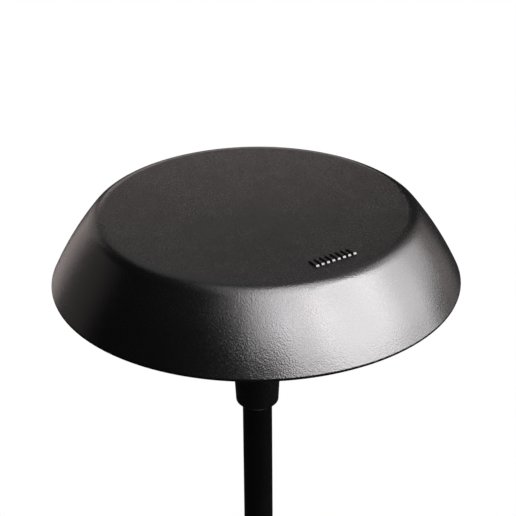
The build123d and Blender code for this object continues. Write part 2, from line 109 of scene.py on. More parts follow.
class Surface:
    """A material with one Principled shader, and short calls that add pattern nodes to it."""

    def __init__(self, name, colour, roughness, metallic=0.0):
        self.material = bpy.data.materials.new(name)
        self.material.use_nodes = True
        self.tree = self.material.node_tree
        self.shader = self.tree.nodes["Principled BSDF"]
        self.last_normal = None
        self.place = None
        self.set("Base Color", (*colour, 1.0))
        self.set("Roughness", roughness)
        self.set("Metallic", metallic)

    def set(self, name, value):
        """Sets a shader input to a constant, or links it to a node's output."""
        socket = self.shader.inputs[name]
        if isinstance(value, bpy.types.NodeSocket):
            self.tree.links.new(value, socket)
        else:
            socket.default_value = value

    def node(self, kind, inputs=None, **settings):
        node = self.tree.nodes.new("ShaderNode" + kind)
        for key, value in settings.items():
            setattr(node, key, value)
        for key, value in (inputs or {}).items():
            if isinstance(value, bpy.types.NodeSocket):
                self.tree.links.new(value, node.inputs[key])
            else:
                node.inputs[key].default_value = value
        return node

    def where(self):
        """The point on the piece, in metres; it turns with the piece."""
        if self.place is None:
            self.place = self.node("TexCoord").outputs["Object"]
        return self.place

    def noise(self, size, detail=2.0, stretch=(1, 1, 1)):
        """Cloudy pattern from 0 to 1 whose spots are about this size, in metres."""
        scaled = self.node("Mapping", {"Vector": self.where(), "Scale": stretch})
        inputs = {"Vector": scaled.outputs["Vector"], "Scale": 1 / size, "Detail": detail}
        return self.node("TexNoise", inputs).outputs["Fac"]

    def cells(self, size):
        """Distance from the middle of the nearest random cell."""
        inputs = {"Vector": self.where(), "Scale": 1 / size}
        return self.node("TexVoronoi", inputs).outputs["Distance"]

    def rings(self, pitch, waver=0.0):
        """Rings about the lamp's axis, from 0 to 1."""
        inputs = {"Vector": self.where(), "Scale": WAVE_LENGTH / pitch, "Distortion": waver}
        node = self.node("TexWave", inputs, wave_type="RINGS", rings_direction="Z")
        return node.outputs["Fac"]

    def bands(self, pitch, axis="Z", waver=0.0):
        """Stripes along an axis, from 0 to 1."""
        inputs = {"Vector": self.where(), "Scale": WAVE_LENGTH / pitch, "Distortion": waver}
        node = self.node("TexWave", inputs, wave_type="BANDS", bands_direction=axis)
        return node.outputs["Fac"]

    def coordinate(self, axis):
        """One coordinate of the point on the piece, in metres."""
        return self.node("SeparateXYZ", {"Vector": self.where()}).outputs[axis]

    def spread(self, value, low, high, at_low=0.0, at_high=1.0):
        """Maps a value that runs from at_low to at_high onto low to high."""
        inputs = {
            "Value": value,
            "From Min": at_low,
            "From Max": at_high,
            "To Min": low,
            "To Max": high,
        }
        return self.node("MapRange", inputs).outputs["Result"]

    def maths(self, operation, first, second=0.0):
        return self.node("Math", {0: first, 1: second}, operation=operation).outputs["Value"]

    def mix(self, share, first, second):
        """Colour between two colours or colour outputs."""
        node = self.node("Mix", data_type="RGBA")
        for index, value in ((0, share), (6, first), (7, second)):
            if isinstance(value, bpy.types.NodeSocket):
                self.tree.links.new(value, node.inputs[index])
            elif index == 0:
                node.inputs[index].default_value = value
            else:
                node.inputs[index].default_value = (*value, 1.0)
        return node.outputs[2]

    def bump(self, height, depth):
        """Adds relief; depth is the height in metres between 0 and 1 of the pattern."""
        inputs = {"Height": height, "Distance": depth, "Strength": 1.0}
        if self.last_normal is not None:
            inputs["Normal"] = self.last_normal
        self.last_normal = self.node("Bump", inputs).outputs["Normal"]
        self.set("Normal", self.last_normal)

    def edges(self, width):
        """1 on edges and 0 on open faces."""
        bevelled = self.node("Bevel", {"Radius": width}, samples=4).outputs["Normal"]
        plain = self.node("NewGeometry").outputs["Normal"]
        dot = self.node("VectorMath", {0: bevelled, 1: plain}, operation="DOT_PRODUCT")
        return self.spread(dot.outputs["Value"], 1.0, 0.0, 0.80, 0.99)


def toned(colour, factor, lift=0.0):
    """The colour made darker or lighter, at most 1 in each channel."""
    return tuple(min(1.0, factor * value + lift) for value in colour)


def powder_coat(name, colour, grain, roughness):
    """Fine-textured black powder coat, a little lighter and smoother where edges are rubbed."""
    s = Surface(name, colour, roughness)
    worn = s.maths("MULTIPLY", s.edges(0.5 * MM), s.spread(s.noise(4 * MM), 0.2, 1.0, 0.35, 0.7))
    cloud = s.noise(30 * MM, 3.0)
    clouded = s.mix(cloud, colour, toned(colour, 1.6))
    s.set("Base Color", s.mix(worn, clouded, toned(colour, 4.0, 0.004)))
    cloudy = s.spread(cloud, roughness - 0.02, roughness + 0.02, 0.3, 0.7)
    speckled = s.maths("ADD", cloudy, s.spread(s.noise(0.8 * grain), -0.05, 0.05, 0.3, 0.7))
    s.set("Roughness", s.maths("SUBTRACT", speckled, s.maths("MULTIPLY", worn, 0.05)))
    s.bump(s.noise(grain, 1.0), 0.13 * grain)
    return s.material


def satin_tube():
    """Smooth black tube with faint streaks along its length."""
    s = Surface("satin_tube", (0.0004, 0.0004, 0.0004), 0.17)
    streaks = s.noise(0.6 * MM, 2.0, (1, 1, 0.02))
    cloud = s.noise(20 * MM)
    s.set("Base Color", s.mix(cloud, (0.0003, 0.0003, 0.0003), (0.0007, 0.0007, 0.0007)))
    s.set("Roughness", s.spread(s.maths("ADD", streaks, cloud), 0.14, 0.20, 0.7, 1.3))
    s.bump(streaks, 0.003 * MM)
    return s.material


def white_paint(name, ring_pitch):
    """White paint; a pitch shows the spinning marks of the sheet under it."""
    s = Surface(name, (0.78, 0.78, 0.76), 0.42)
    dust = s.noise(12 * MM, 4.0)
    dusty = s.spread(dust, 0, 1, 0.35, 0.75)
    s.set("Base Color", s.mix(dusty, (0.80, 0.80, 0.785), (0.72, 0.715, 0.69)))
    s.set("Roughness", s.spread(dust, 0.36, 0.50, 0.3, 0.7))
    s.bump(s.noise(0.5 * MM, 2.0), 0.006 * MM)
    if ring_pitch:
        s.bump(s.rings(ring_pitch, 1.5), 0.012 * MM)
    return s.material


def turned_metal(name, colour, roughness, pitch):
    """Bare metal with fine turning marks and a few duller patches."""
    s = Surface(name, colour, roughness, 1.0)
    patches = s.noise(5 * MM, 4.0)
    s.set("Base Color", s.mix(s.spread(patches, 0, 1, 0.4, 0.7), colour, toned(colour, 0.8)))
    marks = s.maths("MULTIPLY", s.bands(pitch, "Z", 2.0), s.rings(pitch, 2.0))
    uneven = s.maths("ADD", patches, marks)
    s.set("Roughness", s.spread(uneven, roughness - 0.05, roughness + 0.15, 0.4, 1.5))
    s.bump(marks, 0.004 * MM)
    return s.material


def plated_steel():
    """Zinc-plated screws and nuts, brighter along their edges."""
    s = Surface("plated_steel", (0.56, 0.57, 0.58), 0.32, 1.0)
    stains = s.noise(1.5 * MM, 4.0)
    plain = s.mix(s.spread(stains, 0, 1, 0.4, 0.65), (0.60, 0.61, 0.63), (0.44, 0.43, 0.40))
    s.set("Base Color", s.mix(s.edges(0.15 * MM), plain, (0.76, 0.77, 0.78)))
    s.set("Roughness", s.spread(stains, 0.25, 0.45, 0.3, 0.7))
    s.bump(s.noise(0.2 * MM), 0.004 * MM)
    return s.material


def rubber(name, colour, grain, ring_pitch=0.0):
    """Matt rubber with a little dust; a pitch adds moulded rings."""
    s = Surface(name, colour, 0.72)
    dust = s.spread(s.noise(8 * MM, 5.0), 0, 1, 0.45, 0.75)
    s.set("Base Color", s.mix(dust, colour, toned(colour, 1.7, 0.008)))
    s.set("Roughness", s.spread(dust, 0.66, 0.86))
    s.bump(s.noise(grain, 2.0), 0.015 * MM)
    if ring_pitch:
        s.bump(s.rings(ring_pitch), 0.25 * MM)
    return s.material


def opal_plastic():
    """Milky diffuser tube, slightly uneven in depth and faintly drawn along its length."""
    s = Surface("opal_plastic", (0.86, 0.86, 0.84), 0.30)
    s.set("Subsurface Weight", 0.35)
    s.set("Subsurface Radius", (1.0, 0.95, 0.85))
    s.set("Subsurface Scale", 2 * MM)
    cloud = s.noise(6 * MM, 3.0, (1, 1, 0.3))
    s.set("Base Color", s.mix(cloud, (0.88, 0.88, 0.865), (0.82, 0.825, 0.80)))
    s.set("Roughness", s.spread(cloud, 0.26, 0.36, 0.3, 0.7))
    s.bump(s.noise(0.5 * MM, 1.0, (1, 1, 0.05)), 0.004 * MM)
    return s.material


def lamp_board():
    """White solder mask over a ring of copper that stands just proud and a little paler, with some
    grime.
    """
    s = Surface("lamp_board", (0.80, 0.80, 0.78), 0.38)
    flat = s.node("VectorMath", {0: s.where(), 1: (1, 1, 0)}, operation="MULTIPLY")
    from_axis = s.node("VectorMath", {0: flat.outputs["Vector"]}, operation="LENGTH").outputs["Value"]
    inner = s.spread(from_axis, 0, 1, 5.3 * MM, 5.4 * MM)
    outer = s.spread(from_axis, 1, 0, 10.7 * MM, 10.8 * MM)
    copper = s.maths("MULTIPLY", inner, outer)
    grime = s.noise(3 * MM, 4.0)
    mask = s.mix(copper, (0.74, 0.75, 0.73), (0.82, 0.82, 0.80))
    s.set("Base Color", s.mix(s.spread(grime, 0, 0.5, 0.5, 0.8), mask, (0.66, 0.65, 0.60)))
    s.set("Roughness", s.spread(grime, 0.32, 0.46, 0.3, 0.7))
    s.bump(copper, 0.03 * MM)
    s.bump(s.noise(0.25 * MM), 0.005 * MM)
    return s.material


def driver_board():
    """Green solder mask over the glass weave, with paler copper tracks."""
    s = Surface("driver_board", (0.01, 0.12, 0.05), 0.34)
    across = s.bands(0.45 * MM, "X")
    along = s.bands(0.45 * MM, "Z")
    weave = s.maths("MULTIPLY", across, along)
    tracks = s.spread(s.bands(2.6 * MM, "X", 6.0), 0, 1, 0.72, 0.78)
    green = s.mix(weave, (0.008, 0.10, 0.042), (0.012, 0.13, 0.055))
    s.set("Base Color", s.mix(tracks, green, (0.03, 0.24, 0.09)))
    s.set("Roughness", s.spread(s.noise(2 * MM, 3.0), 0.28, 0.42, 0.3, 0.7))
    s.bump(tracks, 0.035 * MM)
    s.bump(weave, 0.01 * MM)
    return s.material


def moulded_plastic(name, colour, grain, roughness):
    """Moulded plastic with a fine spark-eroded grain and paler rubbed edges."""
    s = Surface(name, colour, roughness)
    cloud = s.noise(4 * MM, 3.0)
    rubbed = s.edges(0.2 * MM)
    clouded = s.mix(cloud, colour, toned(colour, 0.85))
    s.set("Base Color", s.mix(rubbed, clouded, toned(colour, 1.25, 0.01)))
    s.set("Roughness", s.spread(cloud, roughness - 0.06, roughness + 0.08, 0.3, 0.7))
    s.bump(s.cells(grain), 0.010 * MM)
    return s.material


def cable_sheath():
    """Black cable sheath with faint marks of the cores under it."""
    s = Surface("cable_sheath", (0.016, 0.016, 0.017), 0.5)
    scuffs = s.spread(s.noise(6 * MM, 5.0, (1, 1, 0.3)), 0, 1, 0.5, 0.75)
    s.set("Base Color", s.mix(scuffs, (0.014, 0.014, 0.015), (0.032, 0.031, 0.030)))
    s.set("Roughness", s.spread(scuffs, 0.44, 0.64))
    s.bump(s.noise(0.4 * MM, 2.0, (1, 1, 0.1)), 0.012 * MM)
    s.bump(s.bands(9 * MM, "DIAGONAL"), 0.05 * MM)
    return s.material


def wire_pair(name, left, right):
    """Insulation whose colour differs on the lamp's left and right side."""
    s = Surface(name, left, 0.42)
    side = s.spread(s.coordinate("X"), 0, 1, -0.2 * MM, 0.2 * MM)
    cloud = s.noise(2 * MM, 3.0)
    left_clouded = s.mix(cloud, left, toned(left, 0.8))
    right_clouded = s.mix(cloud, right, toned(right, 0.8))
    s.set("Base Color", s.mix(side, left_clouded, right_clouded))
    s.set("Roughness", s.spread(cloud, 0.36, 0.5, 0.3, 0.7))
    s.bump(s.noise(0.3 * MM, 1.0, (1, 1, 0.1)), 0.006 * MM)
    return s.material


def ferrite_core():
    """Dark sintered ferrite with fine pits."""
    s = Surface("ferrite_core", (0.03, 0.029, 0.03), 0.6)
    pits = s.cells(0.25 * MM)
    s.set("Base Color", s.mix(s.noise(1.2 * MM, 3.0), (0.024, 0.023, 0.024), (0.05, 0.047, 0.046)))
    s.set("Roughness", s.spread(pits, 0.72, 0.5, 0.0, 0.6))
    s.bump(pits, 0.02 * MM)
    return s.material


def copper_wire():
    """Enamelled copper winding."""
    s = Surface("copper_wire", (0.62, 0.22, 0.09), 0.28, 1.0)
    tone = s.noise(0.9 * MM, 2.0)
    s.set("Base Color", s.mix(tone, (0.66, 0.24, 0.10), (0.46, 0.14, 0.06)))
    s.set("Roughness", s.spread(tone, 0.22, 0.36, 0.3, 0.7))
    s.set("Coat Weight", 0.5)
    s.bump(s.noise(0.15 * MM), 0.003 * MM)
    return s.material


def tinned_metal():
    """Dull solder on pins and joints."""
    s = Surface("tinned_metal", (0.62, 0.62, 0.60), 0.38, 1.0)
    dull = s.noise(0.4 * MM, 4.0)
    s.set("Base Color", s.mix(dull, (0.70, 0.70, 0.68), (0.50, 0.49, 0.46)))
    s.set("Roughness", s.spread(dull, 0.28, 0.52, 0.3, 0.7))
    s.bump(dull, 0.02 * MM)
    return s.material


def phosphor():
    """Yellow phosphor of an unlit lamp package."""
    s = Surface("phosphor", (0.80, 0.58, 0.06), 0.5)
    grains = s.cells(0.12 * MM)
    tone = s.spread(grains, 0, 1, 0, 0.7)
    s.set("Base Color", s.mix(tone, (0.86, 0.66, 0.08), (0.70, 0.46, 0.03)))
    s.set("Roughness", s.spread(grains, 0.4, 0.6, 0, 0.7))
    s.bump(grains, 0.01 * MM)
    return s.material


BLACK_COAT = (0.0006, 0.00058, 0.0006)
MATERIALS = {
    "coated_aluminium": powder_coat("powder_coat", BLACK_COAT, 0.68 * MM, 0.23),
    "coated_steel": powder_coat("powder_coat_foot", BLACK_COAT, 0.75 * MM, 0.27),
    "coated_tube": satin_tube(),
    "white_liner": white_paint("painted_liner", 0.9 * MM),
    "white_hub": white_paint("painted_hub", 0.0),
    "bare_aluminium": turned_metal("turned_aluminium", (0.80, 0.80, 0.81), 0.30, 0.35 * MM),
    "steel": plated_steel(),
    "turned_brass": turned_metal("turned_brass", (0.78, 0.58, 0.30), 0.24, 0.3 * MM),
    "seal_rubber": rubber("seal_silicone", (0.10, 0.10, 0.105), 0.3 * MM),
    "foot_rubber": rubber("foot_rubber", (0.016, 0.016, 0.016), 0.4 * MM, 3.0 * MM),
    "opal_plastic": opal_plastic(),
    "white_board": lamp_board(),
    "green_board": driver_board(),
    "led_package": moulded_plastic("package_white", (0.78, 0.78, 0.75), 0.1 * MM, 0.4),
    "wire_insulation": wire_pair("lamp_wires", (0.010, 0.010, 0.011), (0.42, 0.012, 0.010)),
    "core_insulation": wire_pair("supply_cores", (0.008, 0.06, 0.35), (0.11, 0.035, 0.012)),
    "connector_plastic": moulded_plastic("nylon", (0.66, 0.64, 0.56), 0.12 * MM, 0.42),
    "black_plastic": moulded_plastic("black_plastic", (0.009, 0.009, 0.0095), 0.15 * MM, 0.42),
    "lead_sheath": cable_sheath(),
    "ferrite": ferrite_core(),
}
EXTRA_MATERIALS = {
    "copper": copper_wire(),
    "tinned": tinned_metal(),
    "phosphor": phosphor(),
}


def finish_cad_nodes():
    """Gives every CAD node the procedural material of its slot."""
    for node in frame["nodes"].values():
        for slot in node.material_slots:
            slot.material = MATERIALS[slot.material.name.split(".")[0]]


# Mesh tools


def solids_of(node):
    """Lowest and highest corner of each separate solid in a CAD node."""
    shape = bmesh.new()
    shape.from_mesh(frame["nodes"][node].data)
    bmesh.ops.remove_doubles(shape, verts=shape.verts, dist=WELD_DISTANCE)
    left = set(shape.verts)
    boxes = []
    while left:
        group = [left.pop()]
        for vert in group:
            near = [edge.other_vert(vert) for edge in vert.link_edges]
            fresh = [other for other in near if other in left]
            left.difference_update(fresh)
            group.extend(fresh)
        low = Vector([min(vert.co[axis] for vert in group) for axis in range(3)])
        high = Vector([max(vert.co[axis] for vert in group) for axis in range(3)])
        boxes.append((low, high))
    shape.free()
    return sorted(boxes, key=lambda corners: tuple(corners[0]))


def lathe(shape, profile, segments, place=Matrix(), slot=0):
    """Adds a closed solid turned about +Z from (radius, z) points; radius 0 points are poles."""
    rows = []
    for radius, z in profile:
        count = segments if radius > 0 else 1
        row = []
        for index in range(count):
            angle = 2 * math.pi * index / segments
            point = Vector((radius * math.cos(angle), radius * math.sin(angle), z))
            row.append(shape.verts.new(place @ point))
        rows.append(row)
    closed = len(rows[0]) > 1 and len(rows[-1]) > 1
    pairs = zip(rows, rows[1:] + rows[:1]) if closed else zip(rows, rows[1:])
    for lower, upper in pairs:
        for index in range(segments):
            following = (index + 1) % segments
            corners = [lower[index % len(lower)], lower[following % len(lower)]]
            corners += [upper[following % len(upper)], upper[index % len(upper)]]
            face = shape.faces.new(list(dict.fromkeys(corners)))
            face.material_index = slot


def skin(shape, pairs):
    """Joins each pair of equally long rings of vertices by a band of faces."""
    for lower, upper in pairs:
        for column in range(len(lower)):
            following = (column + 1) % len(lower)
            shape.faces.new((lower[column], lower[following], upper[following], upper[column]))


def rounded_box(shape, low, high, rounding, place=Matrix(), slot=0):
    """Adds a box with rounded edges between two corners."""
    made = bmesh.new()
    bmesh.ops.create_cube(made, size=1.0)
    size = high - low
    for vert in made.verts:
        offset = Vector([value * length for value, length in zip(vert.co, size)])
        vert.co = (low + high) / 2 + offset
    bmesh.ops.bevel(made, geom=made.edges, offset=rounding, segments=2, affect="EDGES")
    copies = {vert: shape.verts.new(place @ vert.co) for vert in made.verts}
    for face in made.faces:
        shape.faces.new([copies[vert] for vert in face.verts]).material_index = slot
    made.free()


def make_piece(name, shape, node, materials, sharp=35.0):
    """Turns a bmesh into the piece that stands for a CAD node and rides with it."""
    bmesh.ops.recalc_face_normals(shape, faces=shape.faces)
    mesh = bpy.data.meshes.new(name)
    shape.to_mesh(mesh)
    shape.free()
    mesh.shade_smooth()
    mesh.set_sharp_from_angle(angle=math.radians(sharp))
    for material in materials:
        mesh.materials.append(material)
    piece = bpy.data.objects.new(name, mesh)
    bpy.context.scene.collection.objects.link(piece)
    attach(piece, frame["nodes"][node]["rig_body"])
    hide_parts(node)
    return piece


# Pieces with more detail than their CAD solids

PACKAGE_SIZE = Vector((2.8, 3.5, 0.8)) * MM
QUARTER_TURN = math.radians(90)


def thread(shape, low, high, pitch):
    """Adds a threaded rod along Z that fills the box between two corners."""
    columns = 20
    rows_per_turn = 6
    radius = (high.x - low.x) / 2
    middle = (low + high) / 2
    depth = 0.55 * pitch
    chamfer = 0.6 * pitch
    count = int((high.z - low.z) / pitch * rows_per_turn)
    rows = []
    for row in range(count + 1):
        z = low.z + (high.z - low.z) * row / count
        to_end = min(z - low.z, high.z - z)
        verts = []
        for column in range(columns):
            turn = column / columns
            phase = (z / pitch - turn) % 1.0
            cut = depth * abs(2 * phase - 1)
            reach = min(radius - cut, radius - max(0.0, chamfer - to_end))
            angle = 2 * math.pi * turn
            offset = Vector((reach * math.cos(angle), reach * math.sin(angle), z - middle.z))
            verts.append(shape.verts.new(middle + offset))
        rows.append(verts)
    skin(shape, zip(rows, rows[1:]))
    shape.faces.new(list(reversed(rows[0])))
    shape.faces.new(rows[-1])


def hexagon_reach(angle, across_flats, first_flat):
    """Distance from a hexagon's middle to its outline in a direction."""
    from_flat = (angle - first_flat + math.pi / 6) % (math.pi / 3) - math.pi / 6
    return across_flats / 2 / math.cos(from_flat)


def hex_nut(shape, low, high, bore):
    """Adds a nut with chamfered corners and bore that fills the box between two corners."""
    size = high - low
    middle = (low + high) / 2
    across_flats = min(size.x, size.y)
    first_flat = 0.0 if size.x < size.y else math.pi / 2
    columns = 48
    corner_start = 0.48 * across_flats
    corner_slope = math.tan(math.radians(25))
    bore_chamfer = 0.25 * MM
    half = size.z / 2
    sections = []
    for column in range(columns):
        angle = 2 * math.pi * column / columns
        reach = hexagon_reach(angle, across_flats, first_flat)
        fall = (reach - corner_start) * corner_slope
        section = (
            (bore, bore_chamfer - half),
            (bore + bore_chamfer, -half),
            (corner_start, -half),
            (reach, fall - half),
            (reach, half - fall),
            (corner_start, half),
            (bore + bore_chamfer, half),
            (bore, half - bore_chamfer),
        )
        verts = []
        for radius, z in section:
            offset = Vector((radius * math.cos(angle), radius * math.sin(angle), z))
            verts.append(shape.verts.new(middle + offset))
        sections.append(verts)
    rows = list(zip(*sections))
    skin(shape, zip(rows, rows[1:] + rows[:1]))


def make_rods():
    """The tie rod and the shade's studs, with real threads."""
    for name, node, pitch in (
        ("tie_rod_threaded", "tie_rod", 0.7 * MM),
        ("shade_studs_threaded", "shade_studs", 0.5 * MM),
    ):
        shape = bmesh.new()
        for low, high in solids_of(node):
            thread(shape, low, high, pitch)
        make_piece(name, shape, node, [MATERIALS["steel"]], sharp=50.0)


def make_nuts():
    """The nuts on the studs and on the tie rod; a bore is a little smaller than its thread."""
    for name, node, bore in (
        ("hub_nuts_chamfered", "hub_nuts", 1.55 * MM),
        ("tie_nut_chamfered", "tie_nut", 2.05 * MM),
    ):
        shape = bmesh.new()
        for low, high in solids_of(node):
            hex_nut(shape, low, high, bore)
        make_piece(name, shape, node, [MATERIALS["steel"]], sharp=20.0)


def led_package(shape, place):
    """One lamp package: white frame, phosphor in a round well, and a tinned pad at each end."""
    half_x, half_y, height = PACKAGE_SIZE.x / 2, PACKAGE_SIZE.y / 2, PACKAGE_SIZE.z
    well_top = 1.15 * MM
    well_floor = 0.95 * MM
    well_depth = 0.25 * MM
    columns = 32
    pad_reach = 0.25 * MM
    pad_length = 0.7 * MM
    pad_thickness = 0.16 * MM
    base = 0.12 * MM
    circle = []
    outline = []
    for column in range(columns):
        angle = 2 * math.pi * (column + 0.5) / columns
        along, across = math.cos(angle), math.sin(angle)
        reach = min(half_x / abs(along), (half_y - pad_reach) / abs(across))
        circle.append((along, across))
        outline.append((reach * along, reach * across))
    rings = (
        (outline, 0.97, base),
        (outline, 1.0, base + 0.05 * MM),
        (outline, 1.0, height - 0.08 * MM),
        (outline, 0.95, height),
        (circle, well_top, height),
        (circle, well_floor, height - well_depth),
    )
    rows = []
    for points, scale, z in rings:
        rows.append([shape.verts.new(place @ Vector((scale * x, scale * y, z))) for x, y in points])
    skin(shape, zip(rows, rows[1:]))
    shape.faces.new(list(reversed(rows[0])))
    fill_top = height - 0.12 * MM
    fill = [(0.0, height - well_depth - 0.02 * MM)]
    for share in (1.0, 0.75, 0.4, 0.0):
        fill.append((share * well_floor, fill_top - well_depth / 2 * share**2))
    lathe(shape, fill, 24, place, 1)
    for side in (-1, 1):
        inner, outer = sorted((side * (half_y - pad_length), side * half_y))
        low = Vector((-0.8 * half_x, inner, 0.0))
        high = Vector((0.8 * half_x, outer, pad_thickness))
        rounded_box(shape, low, high, 0.03 * MM, place, 2)


def make_leds():
    """The lamp packages round the board, each with one end towards the axis."""
    shape = bmesh.new()
    for low, high in solids_of("leds"):
        middle = (low + high) / 2
        angle = math.atan2(middle.y, middle.x)
        base = Matrix.Translation((middle.x, middle.y, low.z))
        led_package(shape, base @ Matrix.Rotation(angle, 4, "Z"))
    materials = [MATERIALS["led_package"], EXTRA_MATERIALS["phosphor"], EXTRA_MATERIALS["tinned"]]
    make_piece("led_packages", shape, "leds", materials)


def make_driver_chip():
    """Eight-pin package whose bent pins stand on the board; its face looks to the front."""
    low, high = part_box("driver_chip")
    shape = bmesh.new()
    pin_reach = 0.9 * MM
    pin_count = 4
    thick = 0.14 * MM
    half_width = 0.2 * MM
    stand_off = 0.12 * MM
    margin = 0.1 * MM
    body_low = Vector((low.x + pin_reach, low.y, low.z + margin))
    body_high = Vector((high.x - pin_reach, high.y - stand_off, high.z - margin))
    rounded_box(shape, body_low, body_high, 0.12 * MM)
    middle_y = (body_low.y + body_high.y) / 2
    step = (high.z - low.z) / pin_count
    for index in range(pin_count):
        z = low.z + (index + 0.5) * step
        for side in (-1, 1):
            edge = body_low.x if side < 0 else body_high.x
            tip = low.x if side < 0 else high.x
            bend = edge + side * 0.35 * MM
            runs = (
                (edge - side * margin, bend, middle_y - thick / 2, middle_y + thick / 2),
                (bend - side * thick, bend, middle_y - thick / 2, high.y),
                (bend - side * thick, tip, high.y - thick, high.y),
            )
            for x_start, x_end, y_low, y_high in runs:
                x_low, x_high = sorted((x_start, x_end))
                corner_low = Vector((x_low, y_low, z - half_width))
                corner_high = Vector((x_high, y_high, z + half_width))
                rounded_box(shape, corner_low, corner_high, 0.03 * MM, slot=1)
    from_corner = 0.7 * MM
    corner = Vector((body_low.x + from_corner, body_low.y + 0.03 * MM, body_high.z - from_corner))
    dot = [(0.0, 0.0), (0.25 * MM, 0.0), (0.25 * MM, 0.05 * MM), (0.0, 0.05 * MM)]
    lathe(shape, dot, 20, Matrix.Translation(corner) @ Matrix.Rotation(QUARTER_TURN, 4, "X"))
    materials = [MATERIALS["black_plastic"], EXTRA_MATERIALS["tinned"]]
    make_piece("driver_chip_package", shape, "driver_chip", materials)


def off_board(low, high):
    """Place of a round part that stands on the driver board; its +Z leads to the front."""
    base = Matrix.Translation(((low.x + high.x) / 2, high.y, (low.z + high.z) / 2))
    return base @ Matrix.Rotation(QUARTER_TURN, 4, "X")


def make_capacitors():
    """Electrolytic cans: rubber plug, crimped neck and a rounded, scored top."""
    shape = bmesh.new()
    for low, high in solids_of("driver_capacitors"):
        radius = (high.x - low.x) / 2
        length = high.y - low.y
        place = off_board(low, high)
        can = [
            (0.0, 0.35 * MM),
            (0.80 * radius, 0.35 * MM),
            (0.86 * radius, 0.05 * MM),
            (0.94 * radius, 0.02 * MM),
            (0.99 * radius, 0.15 * MM),
            (radius, 0.45 * MM),
            (0.99 * radius, 0.80 * MM),
            (0.88 * radius, 1.10 * MM),
            (0.88 * radius, 1.30 * MM),
            (0.99 * radius, 1.60 * MM),
            (radius, 1.85 * MM),
            (radius, length - 0.5 * MM),
            (0.96 * radius, length - 0.15 * MM),
            (0.85 * radius, length),
            (0.70 * radius, length - 0.06 * MM),
            (0.0, length - 0.06 * MM),
        ]
        lathe(shape, can, 40, place)
        plug = [
            (0.0, 0.05 * MM),
            (0.78 * radius, 0.05 * MM),
            (0.79 * radius, 0.34 * MM),
            (0.0, 0.34 * MM),
        ]
        lathe(shape, plug, 32, place, 1)
        for turn in (0.0, QUARTER_TURN):
            mark = place @ Matrix.Rotation(turn, 4, "Z")
            mark_low = Vector((-0.5 * radius, -0.06 * MM, length - 0.07 * MM))
            mark_high = Vector((0.5 * radius, 0.06 * MM, length - 0.02 * MM))
            rounded_box(shape, mark_low, mark_high, 0.02 * MM, mark)
    materials = [MATERIALS["bare_aluminium"], MATERIALS["foot_rubber"]]
    make_piece("driver_capacitor_cans", shape, "driver_capacitors", materials)


def make_inductor():
    """Drum core with flanges and the layers of its copper winding."""
    low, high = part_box("driver_inductor")
    radius = (high.x - low.x) / 2
    length = high.y - low.y
    place = off_board(low, high)
    flange = 0.8 * MM
    core = 0.45 * radius
    rim = 0.12 * MM
    shape = bmesh.new()
    drum = [
        (0.0, 0.0),
        (radius - rim, 0.0),
        (radius, rim),
        (radius, flange - rim),
        (radius - rim, flange),
        (core, flange),
        (core, length - flange),
        (radius - rim, length - flange),
        (radius, length - flange + rim),
        (radius, length - rim),
        (radius - rim, length),
        (0.0, length),
    ]
    lathe(shape, drum, 48, place)
    wire = 0.17 * MM
    wound = 0.86 * radius
    gap = 0.02 * MM
    inside = core + 0.05 * MM
    turns = int((length - 2 * flange) / (2 * wire))
    pitch = (length - 2 * flange) / turns
    half_turn = 0.49 * pitch
    arc_points = 5
    winding = [(inside, flange + gap)]
    for turn in range(turns):
        middle = flange + (turn + 0.5) * pitch
        for step in range(arc_points):
            angle = math.pi * (step + 0.5) / arc_points
            out = wire * math.sin(angle)
            winding.append((wound + out, middle - half_turn * math.cos(angle)))
    winding.append((inside, length - flange - gap))
    lathe(shape, winding, 48, place, 1)
    materials = [MATERIALS["ferrite"], EXTRA_MATERIALS["copper"]]
    make_piece("driver_inductor_wound", shape, "driver_inductor", materials)


def make_plug():
    """Two-way socket and plug on the board: ribs, latch and two wire mouths underneath."""
    low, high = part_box("driver_plug")
    shape = bmesh.new()
    split = low.y + 0.55 * (high.y - low.y)
    wall = 0.35 * MM
    latch_inner = 2.9 * MM
    latch_outer = 3.4 * MM
    wire_from_middle = 1.5 * MM
    mouth_inner = 0.95 * MM
    mouth_outer = 1.25 * MM
    rounded_box(shape, Vector((low.x, split, low.z)), high, 0.2 * MM)
    plug_low = Vector((low.x + wall, low.y, low.z + wall))
    plug_high = Vector((high.x - wall, split + 0.3 * MM, high.z - wall))
    rounded_box(shape, plug_low, plug_high, 0.25 * MM)
    for share in (0.2, 0.4, 0.6, 0.8):
        x = low.x + share * (high.x - low.x)
        rib_low = Vector((x - 0.2 * MM, low.y + 0.4 * MM, high.z - wall - 0.05 * MM))
        rib_high = Vector((x + 0.2 * MM, split - 0.3 * MM, high.z - 0.05 * MM))
        rounded_box(shape, rib_low, rib_high, 0.08 * MM)
    for side in (-1, 1):
        x_low, x_high = sorted((side * latch_inner, side * latch_outer))
        latch_low = Vector((x_low, split - 1.2 * MM, low.z + 1.2 * MM))
        latch_high = Vector((x_high, split + 0.6 * MM, high.z - 0.4 * MM))
        rounded_box(shape, latch_low, latch_high, 0.1 * MM)
        mouth = Matrix.Translation((side * wire_from_middle, 0.0, low.z))
        collar = [
            (mouth_inner, 0.05 * MM),
            (mouth_outer, 0.05 * MM),
            (mouth_outer, 0.5 * MM),
            (mouth_inner, 0.5 * MM),
        ]
        lathe(shape, collar, 24, mouth)
    materials = [MATERIALS["connector_plastic"]]
    make_piece("driver_plug_housing", shape, "driver_plug", materials)


